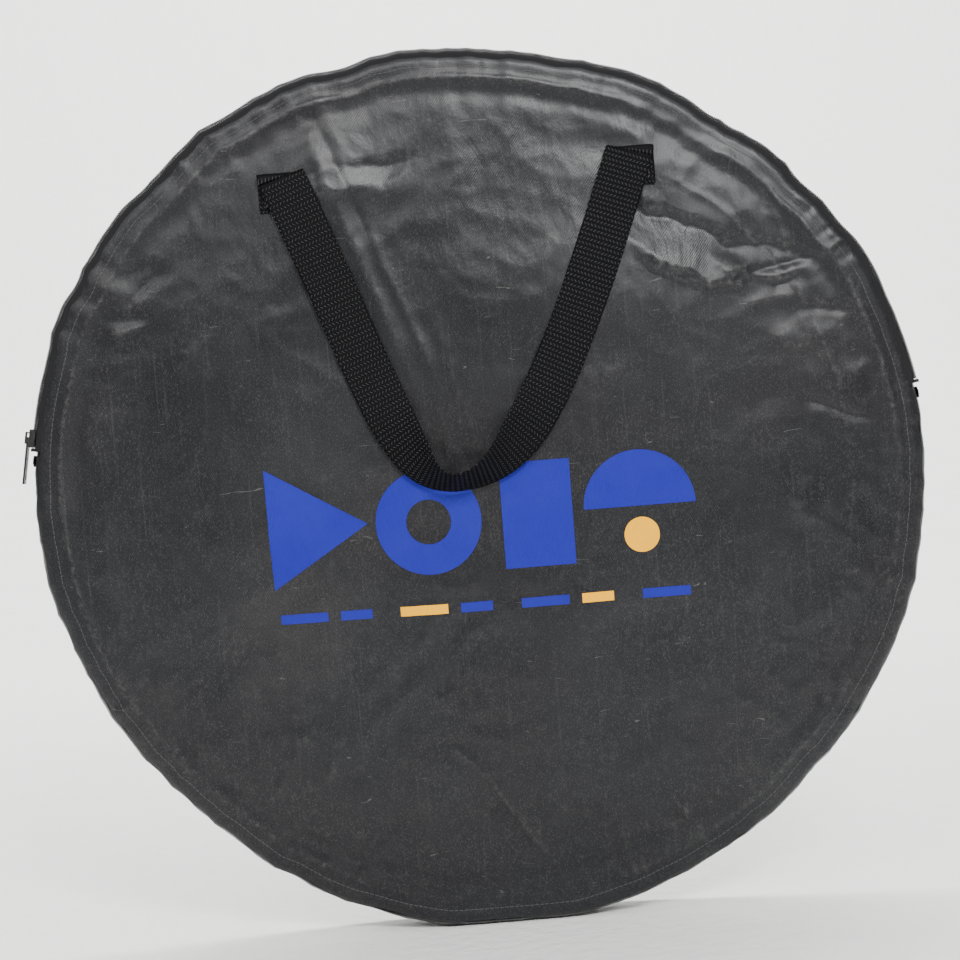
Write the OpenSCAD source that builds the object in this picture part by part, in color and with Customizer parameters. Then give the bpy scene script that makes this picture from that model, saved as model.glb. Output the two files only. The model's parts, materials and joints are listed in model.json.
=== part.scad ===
// Collapsible reflector disc, coiled in its round zipped carry bag.
// The bag stands on a small flat that its weight presses into the lower rim.
// +X is right, +Y is the back and +Z is up. The origin is the middle of that flat.

/* [Bag] */
// Radius of the rim wall
bag_r = 280; // [260:1:320]
// How far the lower rim is pressed flat
sit_depth = 3; // [2:0.5:6]
// Front face at the centre, measured forward from the middle plane
front_bulge = 26; // [24:0.5:32]
// Back face at the centre, measured back from the middle plane
back_bulge = 24; // [22:0.5:30]
// Radius at which the coiled hoop presses a ridge into the panels
ridge_r = 262; // [240:1:270]
// Wall of the fabric solids
skin = 1.5; // [1:0.1:2]

/* [Zip] */
// Height of the zip's lowest points above the horizontal, in degrees
zip_end = 8.75; // [6:0.25:12]
// Height of the fold line of the back flap above the bag's axis
fold_h = 60; // [55:1:80]
// Width of one half of the coil
coil_w = 2.2; // [1.8:0.1:2.6]

/* [Handle] */
// Width of the webbing
strap_w = 30; // [20:1:40]
// Thickness of the webbing
strap_t = 1.6; // [1.2:0.1:2.5]
// Distance of each fold of the handle from the bag's centre line
grip_x = 108; // [90:1:130]
// Height of the handle's folds above the bag's axis
grip_h = 200; // [180:1:215]
// Length of the sewn tabs
tab_l = 19; // [16:1:26]

/* [Reflector] */
// Mean radius of the three coiled turns
hoop_r = 258.4; // [240:0.1:262]
// Height at which the coiled disc lies below the bag's axis
disc_drop = 10; // [8:1:12]
// Width of the spring-steel strip
steel_w = 8; // [6:0.5:9]
// Thickness of the spring-steel strip
steel_t = 1; // [0.8:0.1:1.2]
// Half thickness of the folded fabric
fabric_half = 13; // [10:0.5:13.5]

/* [Hidden] */
$fn = 96;

axis_z = bag_r - sit_depth;      // height of the bag's axis
hem_r = bag_r - 9;               // the panels end here
upper_r = bag_r - 1;             // outer face of the upper rim wall and the zip tapes
gap = 0.3;                       // room left between bodies
ridge_drop = 3.5;                // how far the panels fall from centre to ridge
hem_front = front_bulge - 4.6;   // front face at the hem
hem_back = back_bulge - 5;       // back face at the hem
crown_steps = 10;                // straight steps that make a panel's crown

// Zip, measured along the bag's axis with the front at negative values
zip_y = -15;                     // middle of the zip
tape_y = -22.4;                  // front face of the front tape
tape_t = 1;                      // thickness of a tape
tape_back_y = -9;                // the back tape is sewn to the rim wall here
coil_top = upper_r + coil_w;     // outermost radius of the coil
post_t = 0.8;                    // slider's post, which runs between the coil halves
coil_in = post_t / 2 + gap;      // distance of each coil half from the zip's middle
coil_out = coil_in + coil_w;
slider_a = 1.15;                 // half length of the slider, in degrees
park_a = zip_end + 1.7;          // where the slider parks, in degrees
fold_a = asin(fold_h / upper_r); // angle of the fold line's ends
plate_in = coil_top + 0.4;       // inner face of the slider's outer plate
plate_t = 1.6;
pivot_r = plate_in + plate_t + 1; // radius of the pull tab's pin
pin_r = 0.7;
bridge_a = 0.75;                 // half length of the slider's bridge, in degrees

// Handle
fold_y = -28;                    // axis that the handle swings on
fold_r = 1.9;                    // radius of the fold in the webbing
strap_y = fold_y - fold_r;
tab_front = -26;                 // front of the sewn tabs
tab_top = grip_h - 2.4;          // the fold turns clear above the tabs
loop_low = [-15, 4];             // lowest point of the loop, from the bag's axis
lean = 21;                       // inward lean of the legs, in degrees
leg_steps = 24;

// Coiled hoop: three strands that wind round each other
turns = 3;
twist_r = 2.6;                   // how far the strands wander in radius
twist_y = 7.6;                   // how far they wander along the axis
rings = 180;

function front_y(r) = -(front_bulge - ridge_drop * pow(r / ridge_r, 2));
function back_y(r) = back_bulge - ridge_drop * pow(r / ridge_r, 2);
function unit(v) = v / norm(v);
function smooth(u) = let (k = min(1, max(0, u))) k * k * (3 - 2 * k);

// Turns a flat profile, drawn as [radius, y], about the bag's axis
module spin(a0 = 0, a1 = 360, steps = 180) {
    translate([0, 0, axis_z]) rotate([90, 0, 0]) mirror([0, 0, 1]) rotate([0, 0, a0])
        rotate_extrude(angle = a1 - a0, $fn = steps) children();
}

// Keeps what lies above or below a height measured from the bag's axis
module above(h) {
    intersection() {
        children();
        translate([-500, -100, axis_z + h]) cube([1000, 200, 600]);
    }
}

module below(h) {
    intersection() {
        children();
        translate([-500, -100, axis_z + h - 1000]) cube([1000, 200, 1000]);
    }
}

module band(r0, r1, y0, y1) {
    translate([r0, y0]) square([r1 - r0, y1 - y0]);
}

// A panel's section: crowned from the centre to the ridge, then down to the hem
module panel_section(outer, hem) {
    side = outer[0] < 0 ? 1 : -1;
    face = [for (i = [0:crown_steps]) [ridge_r * i / crown_steps, outer[i]]];
    edge = [[hem_r, hem]];
    back = [for (p = concat(edge, [for (i = [crown_steps:-1:0]) face[i]]))
        [p[0], p[1] + side * skin]];
    polygon(concat(face, edge, back));
}

// ---------- bag ----------

module front_panel() {
    color([0.23, 0.23, 0.25]) spin(steps = 120) panel_section(
        [for (i = [0:crown_steps]) front_y(ridge_r * i / crown_steps)], -hem_front);
}

module back_panel() {
    spin(steps = 120) panel_section(
        [for (i = [0:crown_steps]) back_y(ridge_r * i / crown_steps)], hem_back);
}

module back_panel_lower() {
    color([0.2, 0.2, 0.22]) below(fold_h - 1) back_panel();
}

module back_panel_upper() {
    color([0.2, 0.2, 0.22]) above(fold_h) back_panel();
}

// Section of the rim wall: a quarter round at the back, and one at the front unless it is cut
module rim_section(outer_r, cut_y = undef, filled = false) {
    base = hem_r + gap;
    y0 = -hem_front;
    y1 = hem_back;
    corner = outer_r - hem_r;
    whole = is_undef(cut_y);
    front = [for (a = [0:15:90]) [sin(a), -cos(a)]];
    back = [for (a = [0:15:90]) [cos(a), sin(a)]];
    outer = concat(
        whole ? [for (p = front) [base + (outer_r - base) * p[0], y0 + corner + corner * p[1]]]
            : [[outer_r, cut_y]],
        [for (p = back) [base + (outer_r - base) * p[0], y1 - corner + corner * p[1]]]);
    r = outer_r - skin;
    in_c = corner - skin;
    inner = concat(
        whole ? [for (p = front) [base + (r - base) * p[0], y0 + corner + in_c * p[1]]]
            : [[r, cut_y]],
        [for (p = back) [base + (r - base) * p[0], y1 - corner + in_c * p[1]]]);
    polygon(concat(outer, filled ? [] : [for (i = [len(inner) - 1:-1:0]) inner[i]]));
}

// The lower wall wraps the whole rim; beside the zip's ends it is only the back part
module rim_wall_lower() {
    color([0.24, 0.24, 0.26]) difference() {
        union() {
            spin(180 - zip_end + 0.4, 360 + zip_end - 0.4)
                rim_section(bag_r);
            below(fold_h - 1) {
                spin(zip_end - 0.5, fold_a + 1) rim_section(upper_r, tape_back_y);
                spin(179 - fold_a, 180.5 - zip_end) rim_section(upper_r, tape_back_y);
            }
            sole();
        }
        translate([-200, -100, -50]) cube([400, 200, 50]);
    }
}

// The pressed flat, as thick as the wall around it
module sole() {
    intersection() {
        spin(200, 340) rim_section(bag_r, filled = true);
        translate([-200, -100, 0]) cube([400, 200, skin]);
    }
}

module rim_wall_upper() {
    color([0.24, 0.24, 0.26]) above(fold_h)
        spin(fold_a - 1, 181 - fold_a) rim_section(upper_r, tape_back_y);
}

module seam_binding_front() {
    color([0.08, 0.08, 0.08]) spin()
        band(hem_r - 5, hem_r - 0.5, -hem_front + skin + 0.6, -hem_front + skin + 2.4);
}

module binding_back() {
    spin() band(hem_r - 5, hem_r - 0.5, hem_back - skin - 2.2, hem_back - skin - 0.6);
}

module seam_binding_back_lower() {
    color([0.08, 0.08, 0.08]) below(fold_h - 1) binding_back();
}

module seam_binding_back_upper() {
    color([0.08, 0.08, 0.08]) above(fold_h) binding_back();
}

// ---------- zip ----------

module zip_tape_front() {
    color([0.09, 0.09, 0.1]) spin(zip_end, 180 - zip_end) union() {
        band(hem_r + gap, upper_r, tape_y, tape_y + tape_t);
        band(upper_r - tape_t, upper_r, tape_y, zip_y - coil_in);
    }
}

module coil_half(side) {
    y0 = zip_y + (side < 0 ? -coil_out : coil_in);
    band(upper_r, coil_top, y0, y0 + coil_w);
}

module zip_coil_front() {
    color([0.03, 0.03, 0.03]) spin(zip_end + 0.5, 179.5 - zip_end) coil_half(-1);
}

module zip_back() {
    band(upper_r - tape_t, upper_r, zip_y + coil_in, tape_back_y - 0.05);
}

module zip_tape_back() {
    color([0.09, 0.09, 0.1]) above(fold_h) spin(fold_a - 1, 181 - fold_a) zip_back();
}

module zip_coil_back() {
    color([0.03, 0.03, 0.03]) above(fold_h) spin(fold_a - 1, 181 - fold_a) coil_half(1);
}

// The back half of the zip below the fold line stays with the bag
module zip_back_stub(a0, a1) {
    color([0.05, 0.05, 0.05]) below(fold_h - 1) spin(a0, a1) {
        union() {
            zip_back();
            coil_half(1);
        }
    }
}

module zip_back_stub_left() {
    zip_back_stub(179 - fold_a, 179.5 - zip_end);
}

module zip_back_stub_right() {
    zip_back_stub(zip_end + 0.5, fold_a + 1);
}

module zip_stop(a) {
    color([0.06, 0.06, 0.06]) spin(a - 0.2, a + 0.2)
        band(upper_r, coil_top + 0.4, zip_y - coil_out - 0.3, zip_y + coil_out + 0.3);
}

module zip_stop_left() {
    zip_stop(180 - zip_end - 0.25);
}

module zip_stop_right() {
    zip_stop(zip_end + 0.25);
}

// The tapes' ends, folded together and bar-tacked on the rim wall
module tape_tail(a) {
    color([0.04, 0.04, 0.04]) spin(a - 0.7, a + 0.7)
        band(bag_r, bag_r + 1, zip_y + 1, zip_y + 8);
}

module tape_tail_left() {
    tape_tail(180.4 - zip_end + 0.9);
}

module tape_tail_right() {
    tape_tail(zip_end - 1.3);
}

// Both plates, the side lips, the post between them and the bridge for the pull tab
module zip_slider() {
    a = 180 - park_a;
    half_w = 5;
    lip = 1.4;
    color([0.05, 0.05, 0.05]) union() {
        spin(a - slider_a, a + slider_a) union() {
            band(plate_in, plate_in + plate_t, zip_y - half_w, zip_y + half_w);
            band(upper_r + 0.4, plate_in, zip_y - half_w, zip_y - half_w + lip);
            band(upper_r + 0.4, plate_in, zip_y + half_w - lip, zip_y + half_w);
            band(upper_r - tape_t - 2.1, upper_r - tape_t - 0.5, zip_y - half_w, zip_y + half_w);
        }
        spin(a - slider_a, a - slider_a + 0.8)
            band(upper_r - tape_t - 0.7, plate_in + 0.2, zip_y - post_t / 2, zip_y + post_t / 2);
        spin(a - bridge_a, a + bridge_a)
            band(pivot_r + 1, pivot_r + 2.2, zip_y - 1, zip_y + 1);
        for (s = [-1, 1]) spin(a + s * (bridge_a - 0.08) - 0.08, a + s * (bridge_a - 0.08) + 0.08)
            band(plate_in + plate_t - 0.2, pivot_r + 1.2, zip_y - 1, zip_y + 1);
    }
}

// The tab hangs along the rim; its pin lies under the bridge
module pull_tab() {
    a = 180 - park_a;
    arm = 5;
    tab = 24;
    eye = 1.6;
    color([0.07, 0.07, 0.07]) translate([0, 0, axis_z]) rotate([0, -a, 0])
        translate([pivot_r, zip_y, 0]) union() {
            rotate([90, 0, 0]) cylinder(r = pin_r, h = 7, center = true, $fn = 32);
            for (s = [-1, 1]) translate([-0.6, s * 2.9 - 0.6, 0]) cube([1.2, 1.2, arm + 1]);
            difference() {
                translate([-0.6, -3.5, arm]) cube([1.2, 7, tab]);
                translate([0, 0, arm + tab - 4]) rotate([0, 90, 0])
                    cylinder(r = eye, h = 4, center = true, $fn = 48);
            }
        }
}

// ---------- handle ----------

// Middle of the webbing along one leg, from the fold (u = 0) to the lowest point (u = 1)
function leg_point(s, u) =
    let (p0 = [s * grip_x, grip_h],
         p1 = p0 + 128 * [-s * sin(lean), -cos(lean)],
         p2 = [loop_low[0] + s * (38 + 6 * s), loop_low[1]],
         v = 1 - u)
    pow(v, 3) * p0 + 3 * pow(v, 2) * u * p1 + 3 * v * pow(u, 2) * p2 + pow(u, 3) * loop_low;

// The webbing lies flat at the folds and stands on its edge at the bottom
function leg_turn(u) = 90 * smooth((u - 0.3) / 0.68);

function leg_centre(s, u) =
    let (p = leg_point(s, u))
    [p[0], strap_y - strap_w / 2 * sin(leg_turn(u)), axis_z + p[1]];

// One ring of the strap: centre, direction of travel and how far the strap has turned
function strap_ring(c, travel, turn) =
    let (t = unit(travel),
         across = unit([-t[2], 0, t[0]]),
         w0 = cos(turn) * across + [0, sin(turn), 0],
         w = unit(w0 - (w0 * t) * t),
         n = unit(cross(w, t)))
    [for (k = [[-1, -1], [1, -1], [1, 1], [-1, 1]])
        c + k[0] * strap_w / 2 * w + k[1] * strap_t / 2 * n];

function fold_ring(s, b) =
    let (c = [s * grip_x, fold_y - fold_r * sin(b), axis_z + grip_h + fold_r * cos(b)],
         n = [0, -sin(b), cos(b)])
    [for (k = [[-1, -1], [1, -1], [1, 1], [-1, 1]])
        c + k[0] * strap_w / 2 * [-s, 0, 0] + k[1] * strap_t / 2 * (-1) * n];

function leg_ring(s, u) =
    let (step = 0.01,
         travel = leg_centre(s, min(1, u + step)) - leg_centre(s, max(0, u - step)))
    strap_ring(leg_centre(s, u), -s * travel, leg_turn(u));

// Joins rings of the same number of points into one solid, open or closed on itself
module swept(rows, closed = false) {
    m = len(rows[0]);
    n = len(rows);
    sides = [for (i = [0:n - (closed ? 1 : 2)]) for (j = [0:m - 1])
        let (a = i * m + j, b = i * m + (j + 1) % m,
             c = ((i + 1) % n) * m + (j + 1) % m, d = ((i + 1) % n) * m + j)
        [[a, b, c], [a, c, d]]];
    ends = closed ? [] : [[for (j = [m - 1:-1:0]) j], [for (j = [0:m - 1]) (n - 1) * m + j]];
    polyhedron([for (row = rows) for (p = row) p],
        concat([for (pair = sides) for (f = pair) f], ends), convexity = 10);
}

module carry_handle() {
    left = concat([for (b = [0:30:60]) fold_ring(-1, b)],
        [for (i = [1:leg_steps]) leg_ring(-1, i / leg_steps)]);
    right = concat([for (i = [leg_steps - 1:-1:1]) leg_ring(1, i / leg_steps)],
        [for (b = [60:-30:0]) fold_ring(1, b)]);
    color([0.07, 0.07, 0.07]) swept(concat(left, right));
}

module handle_tab(s) {
    color([0.07, 0.07, 0.07])
        translate([s * grip_x - strap_w / 2, tab_front, axis_z + tab_top - tab_l])
            cube([strap_w, strap_t, tab_l]);
}

module handle_tab_left() {
    handle_tab(-1);
}

module handle_tab_right() {
    handle_tab(1);
}

// A box of stitches with a cross in it on each tab
module handle_stitching() {
    thread = 0.6;
    box_w = strap_w - 8;
    box_h = tab_l - 8;
    slope = atan2(box_h, box_w);
    color([0.12, 0.12, 0.12]) for (s = [-1, 1])
        translate([s * grip_x, tab_front - thread / 2, axis_z + tab_top - tab_l / 2]) {
            for (k = [-1, 1]) {
                translate([0, 0, k * box_h / 2]) cube([box_w, thread, thread], center = true);
                translate([k * box_w / 2, 0, 0]) cube([thread, thread, box_h], center = true);
                rotate([0, k * slope, 0])
                    cube([norm([box_w, box_h]) - 2, thread, thread], center = true);
            }
        }
}

// ---------- print ----------

// Plain shapes in a row, over a row of short bars
module print_outline() {
    polygon([[-134, -56], [-134, 20], [-72, -18]]);
    translate([-34, -20]) difference() {
        circle(r = 33);
        circle(r = 14);
    }
    translate([12, -53]) square([44, 66]);
    translate([98, -20]) difference() {
        circle(r = 35);
        translate([-50, -50]) square([100, 50]);
    }
    translate([98, -38]) circle(r = 11);
    for (i = [0:6]) translate([-132 + 38 * i, -78]) square([i % 2 == 0 ? 30 : 20, 6]);
}

module front_print() {
    film = 0.3;
    color([0.24, 0.32, 0.75]) intersection() {
        translate([0, 0, axis_z]) rotate([90, 0, 0]) linear_extrude(60) print_outline();
        spin(steps = 120) polygon(concat(
            [for (i = [0:crown_steps]) [ridge_r * i / crown_steps,
                front_y(ridge_r * i / crown_steps) - film]],
            [for (i = [crown_steps:-1:0]) [ridge_r * i / crown_steps,
                front_y(ridge_r * i / crown_steps)]]));
    }
}

// ---------- reflector ----------

// Strand position after a turn of a degrees, counted over all three turns
function strand(a) = [hoop_r + twist_r * cos(a / turns), twist_y * sin(a / turns)];

function section_ring(a, outline) =
    let (c = strand(a))
    [for (p = outline)
        [(c[0] + p[0]) * cos(a), c[1] + p[1], axis_z - disc_drop + (c[0] + p[0]) * sin(a)]];

module coiled(outline) {
    swept([for (i = [0:rings - 1]) section_ring(360 * turns * i / rings, outline)], true);
}

module spring_hoop() {
    color([0.55, 0.57, 0.6]) coiled([[-steel_t / 2, -steel_w / 2], [-steel_t / 2, steel_w / 2],
        [steel_t / 2, steel_w / 2], [steel_t / 2, -steel_w / 2]]);
}

// The hem sleeve that holds the hoop, open towards the fabric
module hoop_binding() {
    in_w = steel_w / 2 + 0.2;
    out_w = in_w + 0.8;
    in_r = steel_t / 2 + 0.2;
    out_r = in_r + 0.7;
    color([0.05, 0.05, 0.05]) coiled([[-out_r, -out_w], [-out_r, -in_w], [in_r, -in_w],
        [in_r, in_w], [-out_r, in_w], [-out_r, out_w], [out_r, out_w], [out_r, -out_w]]);
}

// The crimped sleeve that joins the strip's two ends
module hoop_sleeve() {
    joint_a = 270;
    c = strand(joint_a);
    color([0.6, 0.6, 0.62]) translate([0, 0, axis_z - disc_drop]) rotate([0, -joint_a, 0])
        translate([c[0] - steel_t / 2 - 0.95, c[1], 0])
            cube([0.7, steel_w - 1, 16], center = true);
}

module fabric_half_disc(side) {
    r = hoop_r - twist_r - 3.2;
    y0 = gap / 2;
    section = [[0, y0], [r, y0], [r, fabric_half * 0.55], [r * 0.9, fabric_half * 0.85],
        [r * 0.6, fabric_half], [0, fabric_half]];
    translate([0, 0, -disc_drop]) spin(steps = 120)
        polygon([for (p = section) [p[0], side * p[1]]]);
}

module fabric_silver() {
    color([0.75, 0.76, 0.78]) fabric_half_disc(-1);
}

module fabric_white() {
    color([0.93, 0.93, 0.92]) fabric_half_disc(1);
}

front_panel();
front_print();
zip_tape_front();
zip_coil_front();
zip_back_stub_left();
zip_back_stub_right();
zip_stop_left();
zip_stop_right();
tape_tail_left();
tape_tail_right();
rim_wall_lower();
back_panel_lower();
seam_binding_front();
seam_binding_back_lower();
handle_tab_left();
handle_tab_right();
handle_stitching();
back_panel_upper();
rim_wall_upper();
zip_tape_back();
zip_coil_back();
seam_binding_back_upper();
carry_handle();
zip_slider();
pull_tab();
spring_hoop();
hoop_sleeve();
hoop_binding();
fabric_silver();
fabric_white();
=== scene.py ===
"""Looks of the collapsible reflector disc in its zipped bag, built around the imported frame.

Shapes are worked out in millimetres from the bag's axis: x to the right, y to the back and
z up, or radius and angle, with the angle counted from +X towards +Z. mesh_piece() turns them
into metres in the row frame.
"""
import json
import math
from itertools import product

import bpy
import numpy as np
from mathutils import Matrix, Vector


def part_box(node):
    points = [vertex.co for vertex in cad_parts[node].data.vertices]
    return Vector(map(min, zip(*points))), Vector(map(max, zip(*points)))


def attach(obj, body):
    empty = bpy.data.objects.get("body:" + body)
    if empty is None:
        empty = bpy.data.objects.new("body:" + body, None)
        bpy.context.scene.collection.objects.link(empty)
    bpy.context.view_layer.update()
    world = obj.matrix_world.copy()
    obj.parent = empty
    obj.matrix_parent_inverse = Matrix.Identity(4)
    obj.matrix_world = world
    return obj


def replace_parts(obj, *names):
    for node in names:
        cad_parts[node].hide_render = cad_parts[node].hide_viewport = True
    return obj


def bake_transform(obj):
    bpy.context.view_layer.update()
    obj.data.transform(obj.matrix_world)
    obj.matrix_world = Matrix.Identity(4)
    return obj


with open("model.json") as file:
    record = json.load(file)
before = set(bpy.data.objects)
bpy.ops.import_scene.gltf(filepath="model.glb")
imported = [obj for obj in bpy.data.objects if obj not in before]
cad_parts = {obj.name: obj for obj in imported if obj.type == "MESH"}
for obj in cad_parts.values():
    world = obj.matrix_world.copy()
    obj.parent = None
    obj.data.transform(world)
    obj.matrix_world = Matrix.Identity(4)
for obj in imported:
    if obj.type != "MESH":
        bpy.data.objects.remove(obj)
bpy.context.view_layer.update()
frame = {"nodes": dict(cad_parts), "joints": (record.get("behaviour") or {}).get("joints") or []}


MM = 0.001


def corner(node, which):
    """A node's lowest (0) or highest (1) corner in millimetres."""
    return np.array(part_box(node)[which], float) / MM


# ---------------------------------------------------------------- sizes from the frame

AXIS_Z = (corner("front_panel", 0)[2] + corner("front_panel", 1)[2]) / 2
HEM_R = corner("front_panel", 1)[0]
BAG_R = corner("rim_wall_lower", 1)[0]
TAPE_R = corner("zip_tape_front", 1)[2] - AXIS_Z
COIL_R = corner("zip_coil_front", 1)[2] - AXIS_Z
FACE_Y = corner("front_panel", 0)[1]
BACK_Y = corner("back_panel_lower", 1)[1]
HEM_FRONT = corner("rim_wall_lower", 0)[1]
HEM_BACK = corner("rim_wall_lower", 1)[1]
COIL_FRONT = (corner("zip_coil_front", 0)[1], corner("zip_coil_front", 1)[1])
COIL_BACK = (corner("zip_coil_back", 0)[1], corner("zip_coil_back", 1)[1])
TAPE_BACK_Y = corner("zip_tape_back", 1)[1]
ZIP_END = math.degrees(math.asin((corner("zip_tape_front", 0)[2] - AXIS_Z + 0.2) / HEM_R))
PARK = math.degrees(math.asin(
    ((corner("zip_slider", 0)[2] + corner("zip_slider", 1)[2]) / 2 - AXIS_Z) / COIL_R))
TAB_LOW, TAB_TOP = corner("handle_tab_right", 0), corner("handle_tab_right", 1)
GRIP_X = (TAB_LOW[0] + TAB_TOP[0]) / 2
STRAP_W = TAB_TOP[0] - TAB_LOW[0]
STRAP_T = 1.6
HANDLE_AXIS = next(j for j in frame["joints"] if j["name"] == "handle_lift")
FOLD_Y = HANDLE_AXIS["pos_m"][1] / MM
GRIP_H = HANDLE_AXIS["pos_m"][2] / MM - AXIS_Z
LOOP_LOW = corner("carry_handle", 0)[2] - AXIS_Z
RIDGE_R = HEM_R - 9
WRAP = 7.0  # how far the panel goes past its hem below the zip
HEM_LAP = 4.2  # how far it laps over the zip tape, short of the slider
PANEL_FALL = 3.5
DISC_Z = (corner("fabric_silver", 0)[2] + corner("fabric_silver", 1)[2]) / 2 - AXIS_Z
CLOTH_R = corner("fabric_silver", 1)[0]

# ---------------------------------------------------------------- helpers


class Noise:
    """Gradient noise in three dimensions, from about -0.7 to 0.7."""

    def __init__(self, seed):
        rng = np.random.default_rng(seed)
        self.order = np.tile(rng.permutation(256), 3)
        grad = rng.normal(size=(256, 3))
        self.grad = grad / np.linalg.norm(grad, axis=1)[:, None]

    def __call__(self, x, y, z=0.0):
        p = np.stack(np.broadcast_arrays(x, y, z), axis=-1).astype(float)
        cell = np.floor(p).astype(int)
        f = p - cell
        cell &= 255
        fade = f ** 3 * (f * (f * 6 - 15) + 10)
        total = np.zeros(p.shape[:-1])
        for c in product((0, 1), repeat=3):
            h = self.order[cell[..., 0] + c[0]]
            h = self.order[h + cell[..., 1] + c[1]]
            h = self.order[h + cell[..., 2] + c[2]]
            weight = np.prod(np.where(c, fade, 1 - fade), axis=-1)
            total += weight * (self.grad[h] * (f - c)).sum(-1)
        return total


def smooth(t):
    t = np.clip(t, 0, 1)
    return t * t * (3 - 2 * t)


def near(angle, centre, half, fade):
    """1 within half degrees of centre, falling to 0 over fade degrees."""
    away = np.abs((angle - centre + 180) % 360 - 180)
    return 1 - smooth((away - half) / fade)


def polar(r, angle, y):
    a = np.radians(angle)
    return np.stack(np.broadcast_arrays(r * np.cos(a), y, r * np.sin(a)), axis=-1)


def mesh_piece(name, points, faces, uv=None, material=None, thick=None, subdivide=0):
    """A smooth mesh from points in millimetres from the bag's axis; uv is in metres."""
    mesh = bpy.data.meshes.new(name)
    where = np.asarray(points, float).reshape(-1, 3) * MM
    where[:, 2] += AXIS_Z * MM
    mesh.from_pydata(where.tolist(), [], [tuple(f) for f in faces])
    mesh.shade_smooth()
    if uv is not None:
        layer = mesh.uv_layers.new(name="cloth")
        index = np.empty(len(mesh.loops), np.int32)
        mesh.loops.foreach_get("vertex_index", index)
        layer.data.foreach_set("uv", np.asarray(uv, np.float32).reshape(-1, 2)[index].ravel())
    piece = bpy.data.objects.new(name, mesh)
    bpy.context.scene.collection.objects.link(piece)
    if material:
        mesh.materials.append(material)
    if thick:
        solid = piece.modifiers.new("thickness", "SOLIDIFY")
        solid.thickness, solid.offset = thick * MM, 0
    if subdivide:
        piece.modifiers.new("round", "SUBSURF").levels = subdivide
        piece.modifiers["round"].render_levels = subdivide
    return piece


def grid_faces(rows, cols, wrap_rows=False, wrap_cols=False, first=0):
    faces = []
    for i in range(rows if wrap_rows else rows - 1):
        for j in range(cols if wrap_cols else cols - 1):
            a, b = i * cols + j, i * cols + (j + 1) % cols
            c, d = ((i + 1) % rows) * cols + (j + 1) % cols, ((i + 1) % rows) * cols + j
            faces.append((first + a, first + b, first + c, first + d))
    return faces


def disc_grid(n):
    """Even quads over a unit disc: x, z and the faces."""
    s = np.linspace(-1, 1, n)
    a, b = np.meshgrid(s, s, indexing="ij")
    wide = np.abs(a) >= np.abs(b)
    lead, side = np.where(wide, a, b), np.where(wide, b, a)
    turn = np.pi / 4 * np.divide(side, lead, out=np.zeros_like(side), where=lead != 0)
    x = np.where(wide, lead * np.cos(turn), lead * np.sin(turn))
    z = np.where(wide, lead * np.sin(turn), lead * np.cos(turn))
    return x.ravel(), z.ravel(), grid_faces(n, n)


# ---------------------------------------------------------------- how the bag has settled

wave_noise, warp_noise = Noise(11), Noise(12)


def outline(angle):
    """How far the rim has moved from its true circle: a slight oval with waves in the zip."""
    zip_part = smooth((np.sin(np.radians(angle)) - 0.12) / 0.15)
    free = 1 - np.maximum(near(angle, PARK, 5, 8), near(angle, 180 - PARK, 5, 8))
    oval = 4.0 * (np.cos(np.radians(2 * (angle + 19))) - 0.956) + 1.6 * np.cos(
        np.radians(3 * (angle - 21)))
    a = np.radians(angle)
    wave = wave_noise(np.cos(a) * 5.2, np.sin(a) * 5.2, 0.3) * (3.4 + 3.0 * zip_part)
    notch = np.abs(wave_noise(np.cos(a) * 11, np.sin(a) * 11, 4.1)) * -4.0 + 0.8
    return oval + (wave + notch) * free


def settle(points):
    """Moves points of the ideal bag to where the soft bag has them."""
    p = np.array(points, float)
    x, z = p[..., 0], p[..., 2]
    r = np.maximum(np.hypot(x, z), 1e-6)
    angle = np.degrees(np.arctan2(z, x)) % 360
    a = np.radians(angle)
    share = smooth(r / BAG_R) * r / BAG_R
    # the floor presses the lowest part of the rim flat
    pressed = near(angle, 270, 2, 40)
    flat = np.minimum(AXIS_Z / np.maximum(-np.sin(a), 0.5) - BAG_R, 0)
    grow = share * (outline(angle) * (1 - pressed) + flat * pressed)
    free = 1 - np.maximum(near(angle, PARK, 5, 8), near(angle, 180 - PARK, 5, 8))
    lean = warp_noise(np.cos(a) * 2.2, np.sin(a) * 2.2, 7.7) * 3.0 * share ** 2 * free
    p[..., 0] = x * (1 + grow / r)
    p[..., 2] = np.maximum(z * (1 + grow / r), -AXIS_Z + 0.15)
    p[..., 1] = p[..., 1] + lean
    return p


# ---------------------------------------------------------------- the panels' relief

relief_noise, fine_noise, crumple_noise = Noise(21), Noise(22), Noise(23)

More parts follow.
